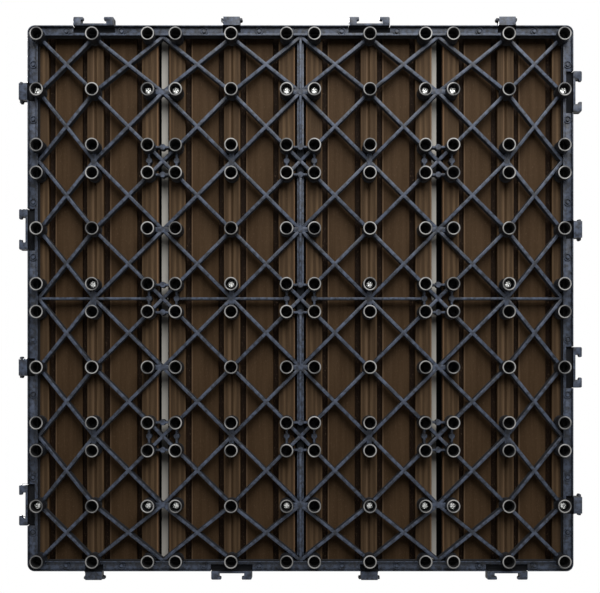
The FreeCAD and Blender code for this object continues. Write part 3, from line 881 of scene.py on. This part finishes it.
def one_sided_paper(name, tint, glow=colour(0, 0, 0), stops_light=True):
    """Matt paper that the camera sees only from the side its normal points to."""
    material, nodes, links, shader = new_material(name, PAPER_ROUGHNESS)
    shader.inputs["Base Color"].default_value = tint
    shader.inputs["Specular IOR Level"].default_value = 0.0
    shader.inputs["Emission Color"].default_value = glow
    shader.inputs["Emission Strength"].default_value = 1.0
    ray = nodes.new("ShaderNodeLightPath")
    facing = nodes.new("ShaderNodeNewGeometry")
    front = math_node(nodes, links, "SUBTRACT", 1.0, facing.outputs["Backfacing"])
    seen = add_node(nodes, "ShaderNodeMix", data_type="FLOAT")
    links.new(ray.outputs["Is Camera Ray"], seen.inputs["Factor"])
    seen.inputs["A"].default_value = float(stops_light)
    links.new(front, seen.inputs["B"])
    clear = nodes.new("ShaderNodeBsdfTransparent")
    choice = nodes.new("ShaderNodeMixShader")
    links.new(seen.outputs["Result"], choice.inputs["Fac"])
    links.new(clear.outputs[0], choice.inputs[1])
    links.new(shader.outputs[0], choice.inputs[2])
    links.new(choice.outputs[0], nodes["Material Output"].inputs["Surface"])
    return material


def paper_sheet(name, low_x, high_x, half_y, height, faces_up, material):
    """Flat sheet, drawn in millimetres, whose normal points up or down."""
    outline = box_outline(low_x, -half_y, high_x, half_y)
    corners = [Vector((x, y, height)) * MM for x, y in outline]
    mesh = bpy.data.meshes.new(name)
    mesh.from_pydata(corners, [], [(0, 1, 2, 3) if faces_up else (3, 2, 1, 0)])
    mesh.materials.append(material)
    sheet = bpy.data.objects.new(name, mesh)
    bpy.context.scene.collection.objects.link(sheet)


pale_ground = one_sided_paper(
    "Pale ground", colour(226, 226, 226), colour(124, 124, 124), stops_light=False)
paper_sheet("ground", -GROUND_HALF, GROUND_HALF, GROUND_HALF, -GROUND_DEPTH, True, pale_ground)
# Every gap is closed by a dark strip of painted shade, with a narrower pale one under it in the
# outer gaps; the dark margins left beside the pale strip are painted shadow.
pale_backing = one_sided_paper("Pale backing", colour(170, 167, 160), colour(12, 12, 12))
shade_backing = one_sided_paper("Painted shade backing", colour(8, 8, 9))
for name, (low_x, high_x) in (
    ("left_backing", LEFT_PALE_STRIP),
    ("right_backing", RIGHT_PALE_STRIP),
):
    paper_sheet(name, low_x, high_x, STRIP_HALF_LENGTH, PALE_STRIP_HEIGHT, False, pale_backing)
for name, gap in zip(("left_shade_strip", "middle_shade_strip", "right_shade_strip"), boundaries):
    paper_sheet(name, gap - HALF_GAP, gap + HALF_GAP, STRIP_HALF_LENGTH, SHADE_STRIP_HEIGHT,
                False, shade_backing)


# Light: a broad lamp below, on the -Y side, grazes the underside, and a soft sun above lights the
# walking surface. The surround is white to the camera and in reflections, and adds little light.
WHITE = (1.0, 1.0, 1.0, 1.0)
SURROUND_LIGHT = 0.035
LAMP_BELOW_PLACE = (0.1, -0.55, -0.5)
LAMP_ABOVE_PLACE = (-0.8, -0.9, 2.0)
world = bpy.data.worlds.new("Pale surround")
bpy.context.scene.world = world
world.use_nodes = True
nodes, links = world.node_tree.nodes, world.node_tree.links
surround = nodes["Background"]
surround.inputs["Color"].default_value = WHITE
surround.inputs["Strength"].default_value = SURROUND_LIGHT
backdrop = add_node(nodes, "ShaderNodeBackground", {"Color": WHITE, "Strength": 1.0})
ray = nodes.new("ShaderNodeLightPath")
camera_or_glossy = math_node(nodes, links, "MAXIMUM", ray.outputs["Is Camera Ray"],
                             ray.outputs["Is Glossy Ray"])
shown = math_node(nodes, links, "MAXIMUM", camera_or_glossy, ray.outputs["Is Transmission Ray"])
choice = nodes.new("ShaderNodeMixShader")
links.new(shown, choice.inputs["Fac"])
links.new(surround.outputs[0], choice.inputs[1])
links.new(backdrop.outputs[0], choice.inputs[2])
links.new(choice.outputs[0], nodes["World Output"].inputs["Surface"])


def aim_lamp(lamp, place):
    """Put a lamp in place, pointed at the middle of the tile."""
    holder = bpy.data.objects.new(lamp.name, lamp)
    holder.location = place
    holder.rotation_euler = (-Vector(place)).to_track_quat("-Z", "Y").to_euler()
    bpy.context.scene.collection.objects.link(holder)


lamp_below = bpy.data.lights.new("lamp_below", "AREA")
lamp_below.size = 0.6
lamp_below.energy = 7.9
aim_lamp(lamp_below, LAMP_BELOW_PLACE)
lamp_above = bpy.data.lights.new("lamp_above", "SUN")
lamp_above.angle = math.radians(14)
lamp_above.energy = 3.6
aim_lamp(lamp_above, LAMP_ABOVE_PLACE)


# Camera: under the tile, looking straight up at it, with -Y at the top of the picture. The lens
# is shifted, so that the point above the camera lies below the picture's middle, and the tile sits
# a little low and to the right in the frame.
PICTURE_WIDTH = 600
DISTANCE = 0.52
MM_PER_PIXEL = 0.5386
LENS_SHIFT = 0.13
TILE_DROP = 0.6 * MM
TILE_ASIDE = 0.25 * MM
SENSOR_WIDTH = 36.0
camera_data = bpy.data.cameras.new("camera")
camera_data.sensor_width = SENSOR_WIDTH
camera_data.lens = SENSOR_WIDTH * DISTANCE / (PICTURE_WIDTH * MM_PER_PIXEL * MM)
camera_data.shift_y = LENS_SHIFT
camera_data.clip_start = 0.01
camera = bpy.data.objects.new("camera", camera_data)
foot = LENS_SHIFT * PICTURE_WIDTH * MM_PER_PIXEL * MM
camera.location = (-TILE_ASIDE, foot - TILE_DROP, -DISTANCE)
right, up = Vector((1, 0, 0)), Vector((0, -1, 0))
camera.rotation_euler = Matrix((right, up, right.cross(up))).transposed().to_euler()
bpy.context.scene.collection.objects.link(camera)
bpy.context.scene.camera = camera
bpy.context.scene.view_settings.view_transform = "Standard"
